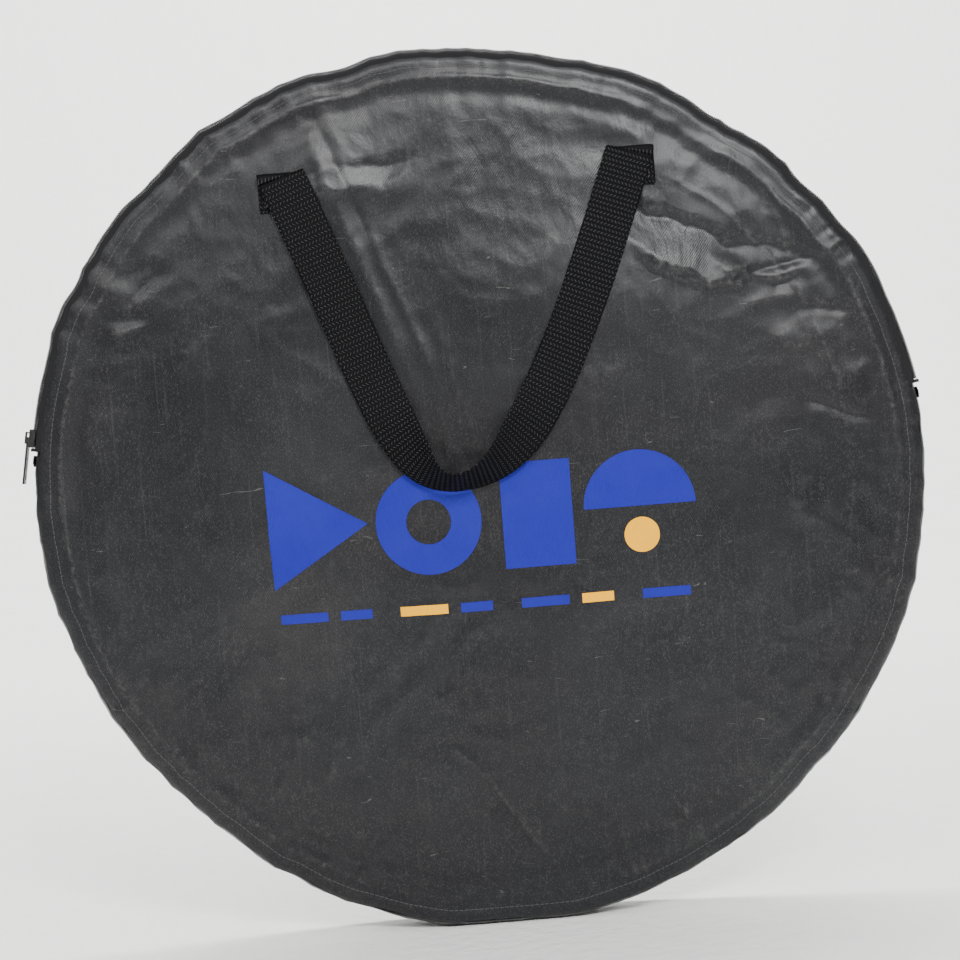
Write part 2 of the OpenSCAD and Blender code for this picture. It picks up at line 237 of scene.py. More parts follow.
# Long creases in the front panel: from, to, half width and depth (positive stands proud)
FRONT_CREASES = [
    ((-98, 246), (-26, 38), 5.0, 1.5),
    ((-90, 250), (-52, 150), 3.0, -1.4),
    ((-86, 246), (-8, 30), 3.2, 0.9),
    ((-24, 120), (10, -14), 4.0, 0.7),
    ((-14, -176), (30, -246), 3.4, 1.3),
    ((-34, -158), (-8, -186), 3.0, 0.9),
    ((14, -150), (44, -214), 4.2, -0.8),
    ((92, -216), (132, -226), 3.4, -1.5),
    ((104, -204), (128, -240), 3.0, 1.4),
    ((165, 118), (220, 127), 3.0, -1.8),
    ((190, 108), (214, 119), 2.6, -1.7),
    ((172, 100), (208, 104), 3.6, 1.4),
    ((196, 176), (216, 66), 2.6, 0.9),
    ((-214, 124), (-186, 150), 3.2, -1.8),
    ((-222, 110), (-196, 116), 3.0, 1.4),
    ((-246, 60), (-226, 20), 4.0, 1.0),
    ((-250, -40), (-222, -70), 4.0, -1.1),
    ((-130, 210), (-160, 196), 4.0, 1.2),
    ((-116, -140), (-150, -196), 5.0, 0.8),
    ((60, 60), (150, 20), 6.0, 0.6),
    ((180, -20), (240, -60), 5.0, 1.0),
    ((200, 40), (252, 20), 4.0, -1.2),
    ((-60, -210), (-96, -236), 4.0, -1.1),
    ((120, -120), (176, -168), 6.0, 0.8),
    ((-190, -80), (-120, -120), 6.0, 0.7),
]


def crease(x, z, line):
    """A fold along a line that tapers out at both ends."""
    (x0, z0), (x1, z1), half, depth = line
    dx, dz = x1 - x0, z1 - z0
    length = math.hypot(dx, dz)
    along = ((x - x0) * dx + (z - z0) * dz) / length
    wander = 2.2 * relief_noise(along / 26, x0 * 0.1, z1 * 0.1)
    across = ((x - x0) * dz - (z - z0) * dx) / length + wander
    taper = smooth(along / (0.25 * length)) * smooth((length - along) / (0.3 * length))
    return 0.7 * depth * taper * np.exp(-np.abs(across / half) ** 1.4)


def face_profile(r):
    """Height of the front face of the ideal bag: a crown that falls away past the ridge."""
    crown = -FACE_Y - PANEL_FALL * (r / RIDGE_R) ** 2
    hem = -HEM_FRONT
    return crown + (hem - crown) * smooth((r - RIDGE_R) / (HEM_R - RIDGE_R))


def ridges(r, angle):
    """The coiled hoop's turns, printed through the cloth."""
    a = np.radians(angle)
    wobble = 1.8 * relief_noise(np.cos(a) * 4, np.sin(a) * 4, 2.0)
    upper = 0.3 + 0.7 * smooth(0.75 + np.sin(a) - 0.3 * np.cos(a))
    strong = upper * np.clip(0.6 + 1.3 * relief_noise(np.cos(a) * 3, np.sin(a) * 3, 5.0), 0.1, 1.2)
    outer = 1.2 * strong * np.exp(-np.abs((r - RIDGE_R - wobble) / 1.7) ** 1.2)
    arc = near(angle, 20, 26, 14)
    inner = 0.5 * arc * np.exp(-np.abs((r - 0.885 * RIDGE_R - wobble) / 1.3) ** 1.2)
    return outer + inner - 0.9 * np.exp(-((r - RIDGE_R + 10) / 6.0) ** 2)


def puckers(r, angle, seed):
    """Short gathers that run inwards from the rim seam."""
    a = np.radians(angle)
    reach = 14 + 30 * np.abs(relief_noise(np.cos(a) * 6, np.sin(a) * 6, seed + 0.5))
    depth = np.exp(-np.clip(HEM_R - r, 0, None) / reach)
    lines = fine_noise(np.cos(a) * 25, np.sin(a) * 25, seed + r / 110)
    small = fine_noise(np.cos(a) * 58, np.sin(a) * 58, seed + 3 + r / 70)
    patchy = smooth(0.5 + 2.2 * relief_noise(np.cos(a) * 4, np.sin(a) * 4, seed + 6))
    return depth * patchy * (3.2 * lines + 0.7 * small)


# Broad swells in the front panel: centre, half widths and height
FRONT_SWELLS = [
    ((78, 118), (74, 62), 5.0),
    ((-70, 196), (52, 40), 3.2),
    ((-150, 60), (70, 110), 2.6),
    ((150, -110), (90, 80), 2.4),
    ((30, -190), (110, 50), 3.0),
    ((196, 96), (34, 60), -2.6),
]


# Flat facets between creases: centre, half widths, turn in degrees and slopes along x and z
FRONT_FACETS = [
    ((139, 141), (44, 18), -33, (0.05, 0.195)),
    ((188, 128), (30, 12), -12, (0.05, 0.175)),
    ((-62, 200), (27, 9), 14, (0.06, 0.13)),
    ((214, 84), (20, 12), 15, (0.04, 0.12)),
    ((-204, 138), (22, 11), 30, (0.03, 0.08)),
]


def facet_relief(x, z, facet):
    """A tilted flat patch with an irregular outline."""
    (cx, cz), (wide, high), turn, slopes = facet
    c, s = math.cos(math.radians(turn)), math.sin(math.radians(turn))
    dx, dz = x - cx, z - cz
    u, v = (c * dx + s * dz) / wide, (c * dz - s * dx) / high
    rough = 0.34 * relief_noise(x / 17, z / 17, 30.0) + 0.16 * fine_noise(x / 5, z / 5, 3.0)
    inside = smooth((1 - np.hypot(u, v) + rough) * high / 8 + 0.5)
    return -inside * (slopes[0] * dx + slopes[1] * dz)


def swell(x, z, bump):
    """One broad rise or hollow."""
    (cx, cz), (wide, high), rise = bump
    return rise * np.exp(-((x - cx) / wide) ** 2 - ((z - cz) / high) ** 2)


def drape(x, z, seed):
    """Broad swells with sharp-edged folds between them, as a stiff coated cloth has."""
    broad = 2.4 * relief_noise(x / 150, z / 150, seed)
    u = x + 20 * relief_noise(x / 70, z / 70, seed + 4)
    v = z + 20 * relief_noise(x / 70, z / 70, seed + 8)
    facet = 2.8 * np.abs(crumple_noise(u / 84, v / 64, seed + 1))
    facet += 1.3 * np.abs(crumple_noise(u / 36, v / 28, seed + 2))
    facet += 0.5 * np.abs(crumple_noise(u / 15, v / 19, seed + 3))
    fine = 0.16 * fine_noise(u / 8, v / 12, seed)
    return broad - facet + fine


def front_height(x, z):
    """How far the front face stands forward of the middle plane."""
    r, angle = np.hypot(x, z), np.degrees(np.arctan2(z, x)) % 360
    calm = 1 - smooth((r - RIDGE_R) / (HEM_R - RIDGE_R))
    relief = drape(x, z, 1.0) * calm
    for line in FRONT_CREASES:
        relief = relief + crease(x, z, line)
    for facet in FRONT_FACETS:
        relief = relief + facet_relief(x, z, facet)
    for bump in FRONT_SWELLS:
        relief = relief + swell(x, z, bump) * calm
    return face_profile(r) + ridges(r, angle) + 0.6 * puckers(r, angle, 2.0) + relief


def hem_reach(angle):
    """The hem laps over the zip tape, clear of the slider; below the zip it wraps the rim."""
    return HEM_R + HEM_LAP + (WRAP - HEM_LAP) * (1 - near(angle, 90, 89.6 - ZIP_END, 2.5))


def front_face(x, z, lift=0.0):
    """The settled front surface; points past the hem follow the round of the rim."""
    r, angle = np.maximum(np.hypot(x, z), 1e-6), np.degrees(np.arctan2(z, x)) % 360
    inner = np.minimum(r, HEM_R) / r
    past = np.clip((r - HEM_R) / (BAG_R - HEM_R), 0, 0.95)
    y = -front_height(x * inner, z * inner) + (BAG_R - HEM_R) * (1 - np.sqrt(1 - past ** 2))
    return settle(np.stack([x, y - lift, z], axis=-1))


# ---------------------------------------------------------------- materials


class Shader:
    """A Principled material and the few node helpers that the materials share."""

    def __init__(self, name, colour, rough, metal=0.0, sheen=0.0, spec=0.5):
        self.material = bpy.data.materials.new(name)
        self.material.use_nodes = True
        self.tree = self.material.node_tree
        self.shader = self.tree.nodes["Principled BSDF"]
        self.set("Base Color", (*colour, 1))
        self.set("Roughness", rough)
        self.set("Metallic", metal)
        self.set("Specular IOR Level", spec)
        self.set("Sheen Weight", sheen)
        self.set("Sheen Roughness", 0.4)
        self.where = self.node("ShaderNodeTexCoord").outputs["Object"]
        self.height = None

    def set(self, socket, value):
        self.shader.inputs[socket].default_value = value

    def node(self, kind, **values):
        made = self.tree.nodes.new(kind)
        for key, value in values.items():
            setattr(made, key, value)
        return made

    def plug(self, value, socket):
        if isinstance(value, bpy.types.NodeSocket):
            self.tree.links.new(value, socket)
        else:
            socket.default_value = value

    def math(self, operation, a, b=0.0, c=0.0, clamp=False):
        made = self.node("ShaderNodeMath", operation=operation, use_clamp=clamp)
        for socket, value in zip(made.inputs, (a, b, c)):
            self.plug(value, socket)
        return made.outputs[0]

    def mapped(self, source, scale=(1, 1, 1), turn=(0, 0, 0)):
        made = self.node("ShaderNodeMapping")
        self.plug(source, made.inputs["Vector"])
        made.inputs["Scale"].default_value = scale
        made.inputs["Rotation"].default_value = [math.radians(t) for t in turn]
        return made.outputs[0]

    def noise(self, source, scale, detail=4.0, rough=0.55, distortion=0.0):
        made = self.node("ShaderNodeTexNoise")
        self.plug(source, made.inputs["Vector"])
        for key, value in (("Scale", scale), ("Detail", detail), ("Roughness", rough),
                           ("Distortion", distortion)):
            made.inputs[key].default_value = value
        return made.outputs["Fac"]

    def wave(self, source, scale, distortion=0.0, direction="X", detail=1.0):
        made = self.node("ShaderNodeTexWave", bands_direction=direction)
        self.plug(source, made.inputs["Vector"])
        made.inputs["Scale"].default_value = scale
        made.inputs["Distortion"].default_value = distortion
        made.inputs["Detail"].default_value = detail
        return made.outputs["Fac"]

    def ramp(self, value, low, high, out_low=0.0, out_high=1.0):
        made = self.node("ShaderNodeMapRange", interpolation_type="SMOOTHSTEP")
        self.plug(value, made.inputs["Value"])
        for key, number in (("From Min", low), ("From Max", high), ("To Min", out_low),
                            ("To Max", out_high)):
            made.inputs[key].default_value = number
        return made.outputs[0]

    def mix(self, share, a, b):
        made = self.node("ShaderNodeMix", data_type="RGBA")
        self.plug(share, made.inputs[0])
        for value, socket in ((a, made.inputs[6]), (b, made.inputs[7])):
            if isinstance(value, bpy.types.NodeSocket):
                self.tree.links.new(value, socket)
            else:
                socket.default_value = (*value, 1)
        return made.outputs[2]

    def node_z(self):
        split = self.node("ShaderNodeSeparateXYZ")
        self.plug(self.where, split.inputs[0])
        return split.outputs[2]

    def attribute(self, name):
        return self.node("ShaderNodeAttribute", attribute_name=name).outputs["Fac"]

    def colour(self, value):
        self.plug(value, self.shader.inputs["Base Color"])

    def rough(self, value):
        self.plug(value, self.shader.inputs["Roughness"])

    def bump(self, height, depth, strength=1.0):
        """Adds a bump of that depth in metres on top of the ones before it."""
        made = self.node("ShaderNodeBump")
        made.inputs["Strength"].default_value = strength
        made.inputs["Distance"].default_value = depth
        self.plug(height, made.inputs["Height"])
        if self.height:
            self.tree.links.new(self.height, made.inputs["Normal"])
        self.height = made.outputs[0]
        self.tree.links.new(self.height, self.shader.inputs["Normal"])


def cloth_shader(name, base, dusty, sheen_tint, rough=0.31):
    """Coated twill: slanted ribs, dust in patches, pale scuffs on the creases, and a painted sheen:
    broad random patches of a lighter tint mixed into the colour.
    """
    m = Shader(name, base, rough, spec=0.3)
    twill = m.wave(m.mapped(m.where, (1, 0.35, 1), (0, -36, 0)), 250, 0.6)
    warp = m.noise(m.mapped(m.where, (900, 300, 40)), 1.0, 2)
    m.bump(m.math("ADD", m.math("MULTIPLY", twill, 0.7), m.math("MULTIPLY", warp, 0.6)), 0.00006)
    m.bump(m.noise(m.where, 55, 6, 0.6, 0.5), 0.0008, 0.5)
    m.bump(m.noise(m.mapped(m.where, (1, 1, 0.45), (0, -24, 0)), 24, 4, 0.6, 0.9), 0.002, 0.45)
    cloudy = m.noise(m.where, 7, 7, 0.62, 0.4)
    low = m.ramp(m.node_z(), 0.42, 0.16)
    dust = m.math("MULTIPLY", m.ramp(cloudy, 0.5, 0.75),
                  m.math("ADD", m.math("MULTIPLY", low, 0.16), 0.03))
    speckle = m.ramp(m.noise(m.where, 420, 3, 0.7), 0.62, 0.72)
    streak = m.ramp(m.noise(m.mapped(m.where, (500, 500, 9), (0, 8, 0)), 1.0, 4), 0.56, 0.78)
    fuzz = m.ramp(m.noise(m.where, 150, 6, 0.75), 0.5, 0.72)
    dust = m.math("ADD", dust, m.math("MULTIPLY", speckle, 0.17))
    dust = m.math("ADD", dust, m.math("MULTIPLY", m.math("MULTIPLY", fuzz, low), 0.16))
    dust = m.math("ADD", dust, m.math("MULTIPLY", streak, 0.16))
    dull = m.math("MULTIPLY", dust, 0.3)
    grain = m.ramp(m.noise(m.mapped(m.where, (1, 0.35, 0.7), (0, -36, 0)), 1300, 3, 0.7), 0.53, 0.63)
    dust = m.math("ADD", dust, m.math("MULTIPLY", grain, 0.36), clamp=True)
    scratch = m.ramp(m.noise(m.mapped(m.where, (60, 60, 420), (0, 38, 0)), 1.0, 2, 0.5, 1.2),
                     0.735, 0.76)
    wear = m.math("MULTIPLY", m.attribute("wear"), m.ramp(m.noise(m.where, 260, 4, 0.7), 0.4, 0.66))
    # painted sheen: broad random patches of the lighter tint stand in for the coated cloth's sheen
    toned = m.mix(m.ramp(m.noise(m.where, 5, 3), 0.35, 0.7, 0, 0.6), base, sheen_tint)
    toned = m.mix(dust, toned, dusty)
    toned = m.mix(m.math("MULTIPLY", wear, 0.13, clamp=True), toned, (0.30, 0.29, 0.27))
    toned = m.mix(m.math("MULTIPLY", scratch, 0.28), toned, (0.26, 0.25, 0.23))
    toned = m.mix(m.math("MULTIPLY", twill, 0.55), toned, (0.003, 0.003, 0.004))
    m.colour(toned)
    gloss = m.ramp(cloudy, 0.3, 0.75, rough - 0.05, rough + 0.12)
    m.rough(m.math("ADD", dull, gloss, clamp=True))
    return m.material


def webbing_shader(name, base, rough=0.62):
    """Ribs across the webbing, and slanted threads between them with a painted highlight on their
    raised dashes; uv is in metres.
    """
    m = Shader(name, base, rough, spec=0.06)
    uv = m.node("ShaderNodeUVMap", uv_map="cloth").outputs[0]
    split = m.node("ShaderNodeSeparateXYZ")
    m.plug(uv, split.inputs[0])
    across, along = split.outputs[0], split.outputs[1]
    row = m.math("FLOOR", m.math("MULTIPLY", along, 1 / (RIB * MM)))
    slope = m.math("SUBTRACT", m.math("MULTIPLY", m.math("MODULO", row, 2.0), 2.0), 1.0)
    lean = m.math("MULTIPLY", m.math("MULTIPLY", along, slope), 0.8)
    thread = m.math("SINE", m.math("MULTIPLY", m.math("ADD", across, lean),
                                   2 * math.pi * 13 / (STRAP_W * MM)))
    yarn = m.math("SINE", m.math("MULTIPLY", along, 2 * math.pi / (RIB * MM)))
    dash = m.math("MULTIPLY", m.ramp(thread, 0.3, 0.95), m.ramp(yarn, -0.4, 0.6))
    fuzz = m.noise(m.where, 1800, 3)
    m.bump(m.math("ADD", dash, m.math("MULTIPLY", fuzz, 0.5)), 0.00035)
    m.bump(m.noise(m.where, 4000, 2), 0.00008)
    # painted highlight: the raised thread dashes are lightened in the colour
    dash_highlight = m.mix(m.math("MULTIPLY", dash, m.ramp(fuzz, 0.35, 0.6, 0.3, 1.0)), base,
                (0.058, 0.058, 0.062))
    m.colour(m.mix(m.math("MULTIPLY", m.noise(m.where, 40, 5), 0.2), dash_highlight, (0.01, 0.01, 0.01)))
    return m.material


def tape_shader(name, base, light, scale=900.0):
    """Fine woven tape."""
    m = Shader(name, base, 0.68, spec=0.12)
    weave = m.wave(m.mapped(m.where, (1, 1, 1), (0, 40, 0)), scale, 1.0)
    other = m.wave(m.mapped(m.where, (1, 1, 1), (0, -50, 0)), scale, 1.0)
    both = m.math("MULTIPLY", weave, other)
    m.bump(both, 0.00015)
    m.bump(m.noise(m.where, 120, 4), 0.0006, 0.4)
    m.colour(m.mix(m.math("MULTIPLY", m.noise(m.where, 300, 5, 0.7), both), base, light))
    return m.material


def plain_shader(name, base, rough, other, scale, metal=0.0, depth=0.0001, spec=0.5):
    """One colour with slight variation and a fine bump: nylon, thread, metal or ink."""
    m = Shader(name, base, rough, metal=metal, spec=spec)
    spots = m.noise(m.where, scale, 5, 0.65)
    m.colour(m.mix(m.ramp(spots, 0.35, 0.75), base, other))
    m.rough(m.ramp(spots, 0.3, 0.7, rough - 0.05, rough + 0.12))
    m.bump(spots, depth)
    return m.material


def ink_shader(name, base, cracked):
    """Rubbery screen print over the twill, slightly worn."""
    m = Shader(name, base, 0.55, spec=0.08)
    twill = m.wave(m.mapped(m.where, (1, 0.35, 1), (0, -36, 0)), 250, 0.6)
    m.bump(twill, 0.00006)
    m.bump(m.noise(m.where, 55, 6, 0.6, 0.5), 0.0012, 0.4)
    worn = m.ramp(m.noise(m.where, 900, 4, 0.75), 0.66, 0.72)
    cloudy = m.ramp(m.noise(m.where, 18, 5), 0.4, 0.7, 0, 0.3)
    m.colour(m.mix(m.math("ADD", m.math("MULTIPLY", worn, 0.5), cloudy, clamp=True), base, cracked))
    return m.material


def foil_shader(name, base, metal, rough):
    """Creased reflector cloth."""
    m = Shader(name, base, rough, metal=metal)
    m.bump(m.noise(m.where, 34, 6, 0.65, 1.2), 0.006, 0.6)
    m.bump(m.wave(m.where, 700, 0.4), 0.00006)
    m.rough(m.ramp(m.noise(m.where, 60, 5), 0.3, 0.7, rough - 0.06, rough + 0.12))
    m.colour(m.mix(m.ramp(m.noise(m.where, 12, 4), 0.4, 0.7), base, [0.86 * c for c in base]))
    return m.material


RIB = 3.0  # spacing of the webbing's ribs
# the third colour is the tint of a painted sheen on the charcoal cloth; the rim cloth's greenish
# tint below is a painted sheen as well
CHARCOAL, DUSTY, BLUISH_SHEEN = (0.006, 0.006, 0.0078), (0.085, 0.082, 0.079), (0.006, 0.009, 0.0115)
cloth = cloth_shader("coated_twill", CHARCOAL, DUSTY, BLUISH_SHEEN)
wall_cloth = cloth_shader("rim_twill", (0.010, 0.011, 0.012), (0.12, 0.115, 0.095),
                          (0.024, 0.030, 0.028))
strap_cloth = webbing_shader("strap_webbing", (0.0025, 0.0025, 0.003))
zip_cloth = tape_shader("zip_tape_weave", (0.011, 0.011, 0.012), (0.032, 0.032, 0.034))
binding_cloth = tape_shader("binding_weave", (0.02, 0.02, 0.021), (0.05, 0.05, 0.05))
coil_nylon = plain_shader("coil_nylon", (0.010, 0.010, 0.011), 0.3, (0.03, 0.03, 0.03), 900)
enamel = plain_shader("black_enamel", (0.012, 0.012, 0.013), 0.3, (0.03, 0.03, 0.03), 500,
                      metal=0.4)
thread_nylon = plain_shader("sewing_thread", (0.02, 0.02, 0.021), 0.55, (0.06, 0.06, 0.06), 3000)
steel = plain_shader("blued_steel", (0.11, 0.12, 0.15), 0.32, (0.2, 0.2, 0.22), 200, metal=1.0,
                     depth=0.00002)
aluminium = plain_shader("crimp_aluminium", (0.62, 0.62, 0.63), 0.35, (0.45, 0.45, 0.46), 500,
                         metal=1.0, depth=0.00003)
blue_ink = ink_shader("blue_ink", (0.015, 0.017, 0.25), (0.028, 0.034, 0.28))
yellow_ink = ink_shader("yellow_ink", (0.88, 0.42, 0.004), (0.72, 0.34, 0.02))
silver_foil = foil_shader("silver_foil", (0.72, 0.72, 0.73), 0.9, 0.34)
white_weave = foil_shader("white_weave", (0.80, 0.80, 0.78), 0.0, 0.6)

# ---------------------------------------------------------------- front panel and print


def add_wear(piece, value):
    layer = piece.data.attributes.new("wear", "FLOAT", "POINT")
    layer.data.foreach_set("value", np.clip(value, 0, 1).astype(np.float32).ravel())


def crease_wear(x, z):
    """Where the cloth stands proud of what is round it, the coating has gone chalky."""
    step, here = 2.4, front_height(x, z)
    around = sum(front_height(x + step * dx, z + step * dz)
                 for dx, dz in ((1, 0), (-1, 0), (0, 1), (0, -1))) / 4
    return (here - around) * 5 - 0.15


x, z, faces = disc_grid(296)
reach = hem_reach(np.degrees(np.arctan2(z, x)) % 360)
x, z = x * reach, z * reach
front = mesh_piece("bag_front_panel", front_face(x, z), faces, material=cloth)
add_wear(front, crease_wear(x, z))
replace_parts(front, "front_panel")
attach(front, "bag")


def patch(shape, nu, nv):
    """Points and faces of one printed shape; shape(u, v) gives x and z."""
    u, v = np.meshgrid(np.linspace(0, 1, nu), np.linspace(0, 1, nv), indexing="ij")
    px, pz = shape(u, v)
    return px.ravel(), pz.ravel(), grid_faces(nu, nv)


def block(x0, z0, wide, high):
    return lambda u, v: (x0 + wide * u, z0 + high * v)


def sector(cx, cz, r0, r1, sweep=360):
    def shape(u, v):
        a, r = np.radians(sweep * u), r0 + (r1 - r0) * v
        return cx + r * np.cos(a), cz + r * np.sin(a)
    return shape


def triangle(p, q, s):
    return lambda u, v: tuple(p[k] + u * (q[k] - p[k] + v * (s[k] - q[k])) for k in (0, 1))


BLUE_PRINT = [(triangle((-134, -56), (-134, 20), (-72, -18)), 60, 60),
              (sector(-34, -20, 14, 33), 120, 16), (block(12, -53, 44, 66), 40, 56),
              (sector(98, -20, 0.2, 35, 180), 90, 30)]
BLUE_PRINT += [(block(-132 + 38 * i, -78, 30 - 10 * (i % 2), 6), 26, 7) for i in (0, 1, 3, 4, 6)]
YELLOW_PRINT = [(sector(98, -38, 0.2, 11), 60, 10)]
YELLOW_PRINT += [(block(-132 + 38 * i, -78, 30 - 10 * (i % 2), 6), 26, 7) for i in (2, 5)]


def printed(name, shapes, ink):
    points, faces = [], []
    for shape, nu, nv in shapes:
        px, pz, some = patch(shape, nu, nv)
        first = sum(len(p) for p in points)
        points.append(front_face(px, pz, 0.22))
        faces += [tuple(first + k for k in f) for f in some]
    piece = mesh_piece(name, np.concatenate(points), faces, material=ink)
    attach(piece, "bag")
    return piece


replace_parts(printed("print_blue", BLUE_PRINT, blue_ink), "front_print")
printed("print_yellow", YELLOW_PRINT, yellow_ink)

# ---------------------------------------------------------------- rim wall and back panel

rim_noise = Noise(31)
CORNER = BAG_R - HEM_R
WALL_START = -9.0
BACK_STEPS = 96
TURN_STEPS = 640


def wall_radius(angle):
    """The wall is set in by a millimetre where the zip runs."""
    over = near(angle, 90, 90 - ZIP_END, 3)
    return BAG_R - (BAG_R - TAPE_R) * over


def round_part(angle, a, side):
    """The quarter round between the wall and a hem; a is 0 at the wall and 90 at the hem."""
    base = HEM_R + 0.3
    r = base + (wall_radius(angle) - base) * np.cos(np.radians(a))
    edge = HEM_FRONT if side < 0 else HEM_BACK
    return r, edge - side * CORNER * (1 - np.sin(np.radians(a)))


def wall_relief(angle, y):
    a = np.radians(angle)
    dent = rim_noise(np.cos(a) * 9, np.sin(a) * 9, y / 14) * 2.2
    line = rim_noise(np.cos(a) * 26, np.sin(a) * 26, y / 9 + 5) * 1.0
    return -np.abs(dent) - np.abs(line)


def back_depth(x, z):
    r, angle = np.hypot(x, z), np.degrees(np.arctan2(z, x)) % 360
    calm = 1 - smooth((r - RIDGE_R) / (HEM_R - RIDGE_R))
    crown = BACK_Y - PANEL_FALL * (r / RIDGE_R) ** 2
    crown = crown + (HEM_BACK - crown) * smooth((r - RIDGE_R) / (HEM_R - RIDGE_R))
    return (crown + 0.8 * ridges(r, angle) + 0.5 * puckers(r, angle, 9.0) * (r < HEM_R + 1)
            + drape(x, z, 41.0) * calm)


def back_shell():
    """Rows round the bag, columns from the wall's front edge over the round to the middle."""
    angle = np.linspace(0, 360, TURN_STEPS, endpoint=False)[:, None]
    columns = []
    for y in np.linspace(WALL_START, HEM_BACK - CORNER, 7):
        free = smooth((y - WALL_START) / 5)
        columns.append(polar(wall_radius(angle) + wall_relief(angle, y) * free, angle, y))
    for a in np.linspace(10, 80, 8):
        r, y = round_part(angle, a, 1)
        share = np.cos(np.radians(a))
        columns.append(polar(r + wall_relief(angle, y) * share, angle, y))
    for r in np.linspace(HEM_R, 4, BACK_STEPS):
        ring = polar(np.full_like(angle, r), angle, 0.0)
        ring[..., 1] = back_depth(ring[..., 0], ring[..., 2])
        columns.append(ring)
    points = np.concatenate(columns, axis=1)
    count = points.shape[1]
    faces = grid_faces(TURN_STEPS, count, wrap_rows=True)
    faces.append(tuple(i * count + count - 1 for i in range(TURN_STEPS)))
    piece = mesh_piece("bag_back_shell", settle(points), faces, material=wall_cloth)
    where = points.reshape(-1, 3)
    rim = np.exp(-np.abs(np.hypot(where[:, 0], where[:, 2]) - RIDGE_R) / 2.5)
    add_wear(piece, 0.5 * rim)
    return piece


back = back_shell()
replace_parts(back, "back_panel_lower", "back_panel_upper", "rim_wall_lower", "rim_wall_upper")
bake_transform(back)


def front_wall():
    """The part of the wall in front of the zip's line, below the zip."""
    ends = (180 - ZIP_END - 0.3, 360 + ZIP_END + 0.3)
    angle = np.linspace(*ends, TURN_STEPS)[:, None]
    columns = []
    for a in np.linspace(48, 0, 7):
        r, y = round_part(angle, a, -1)
        share = smooth((48 - a) / 30)
        columns.append(polar(r + wall_relief(angle, y) * share, angle, y))
    columns.append(polar(wall_radius(angle), angle, WALL_START))
    points = np.concatenate(columns, axis=1)
    piece = mesh_piece("rim_front_wall", settle(points), grid_faces(*points.shape[:2]),
                       material=wall_cloth)
    add_wear(piece, np.zeros(points.shape[0] * points.shape[1]))
    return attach(piece, "bag")


front_wall()

# ---------------------------------------------------------------- zip

PITCH = 1.43  # distance from tooth to tooth


def turned(name, profile, ends, steps, material, relief=0.0):
    """A profile of (r, y) points turned about the bag's axis between two angles."""
    angle = np.linspace(*ends, steps)[:, None]
    r, y = np.array(profile, float).T[:, None, :]
    a = np.radians(angle)
    ripple = relief * rim_noise(np.cos(a) * 30, np.sin(a) * 30, y / 6)
    points = polar(r + ripple, angle, y)
    return mesh_piece(name, settle(points), grid_faces(*points.shape[:2]), material=material)


def coil(name, low, high, phase):
    """One half of the zip's coil: a nylon wire wound round the bag's circle."""
    wire, sides, steps = 0.36, 6, 9
    length = math.radians(180 - 2 * ZIP_END - 1) * COIL_R
    turns = int(length / PITCH)
    t = np.linspace(0, turns, turns * steps + 1)
    sweep = 2 * np.pi * (t + phase)
    angle = ZIP_END + 0.5 + (t + 0.18 * np.sin(2 * sweep)) / turns * (179 - 2 * ZIP_END)
    half_r, half_y = (COIL_R - TAPE_R) / 2 - wire, (high - low) / 2 - wire
    r = TAPE_R + 0.1 + wire + half_r * (1 + np.cos(sweep))
    y = (low + high) / 2 + half_y * np.sin(sweep)
    line = polar(r, angle, y)
    ahead = np.gradient(line, axis=0)
    ahead /= np.linalg.norm(ahead, axis=1)[:, None]
    out = line * [1, 0, 1]
    out /= np.linalg.norm(out, axis=1)[:, None]
    side = np.cross(ahead, out)
    side /= np.linalg.norm(side, axis=1)[:, None]
    up = np.cross(side, ahead)
    ring = np.linspace(0, 2 * np.pi, sides, endpoint=False)[:, None]
    points = line[:, None] + wire * (np.cos(ring) * up[:, None] + np.sin(ring) * side[:, None])
    piece = mesh_piece(name, settle(points), grid_faces(len(line), sides, wrap_cols=True),
                       material=coil_nylon)
    return piece


ZIP_SPAN = (ZIP_END, 180 - ZIP_END)
FRONT_TAPE = [(HEM_R - 0.5, -19.8), (HEM_R + 2, -20.0), (HEM_R + 4, -20.4), (HEM_R + 5.6, -20.6),
              (HEM_R + 7, -20.3), (HEM_R + 7.7, -19.6), (HEM_R + 8, -18.7), (HEM_R + 8, -17.6),
              (HEM_R + 8, COIL_FRONT[1])]
tape = turned("zip_front_tape", FRONT_TAPE, ZIP_SPAN, 900, zip_cloth, 0.5)
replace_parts(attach(tape, "bag"), "zip_tape_front")
BACK_TAPE = [(TAPE_R, y) for y in np.linspace(COIL_BACK[0], TAPE_BACK_Y + 0.3, 5)]
tape = turned("zip_back_tape", BACK_TAPE, ZIP_SPAN, 700, zip_cloth)
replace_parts(tape, "zip_tape_back")
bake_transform(tape)
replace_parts(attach(coil("zip_front_coil", *COIL_FRONT, 0.0), "bag"), "zip_coil_front")
chain = coil("zip_back_coil", *COIL_BACK, 0.5)
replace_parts(chain, "zip_coil_back", "zip_back_stub_left", "zip_back_stub_right")
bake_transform(chain)


def tape_tail(name, node, angle):
    """The tapes' ends, folded together and tacked on the wall."""
    u = np.linspace(-0.7, 0.7, 9)[:, None]
    low, high = corner(node, 0)[1], corner(node, 1)[1]
    y = np.linspace(low, high, 16)[None, :]
    r = BAG_R + 0.35 + 0.25 * np.sin(y * 4 + u * 5) + 0.3 * (1 - (u / 0.7) ** 2)
    points = polar(r, angle + u + 0 * y, y)
    piece = mesh_piece(name, settle(points), grid_faces(*points.shape[:2]), material=zip_cloth,
                       thick=0.5)
    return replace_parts(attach(piece, "bag"), node)


tape_tail("zip_tail_right", "tape_tail_right", ZIP_END - 1.3)
tape_tail("zip_tail_left", "tape_tail_left", 180 - ZIP_END + 1.3)

# ---------------------------------------------------------------- bindings and stitches


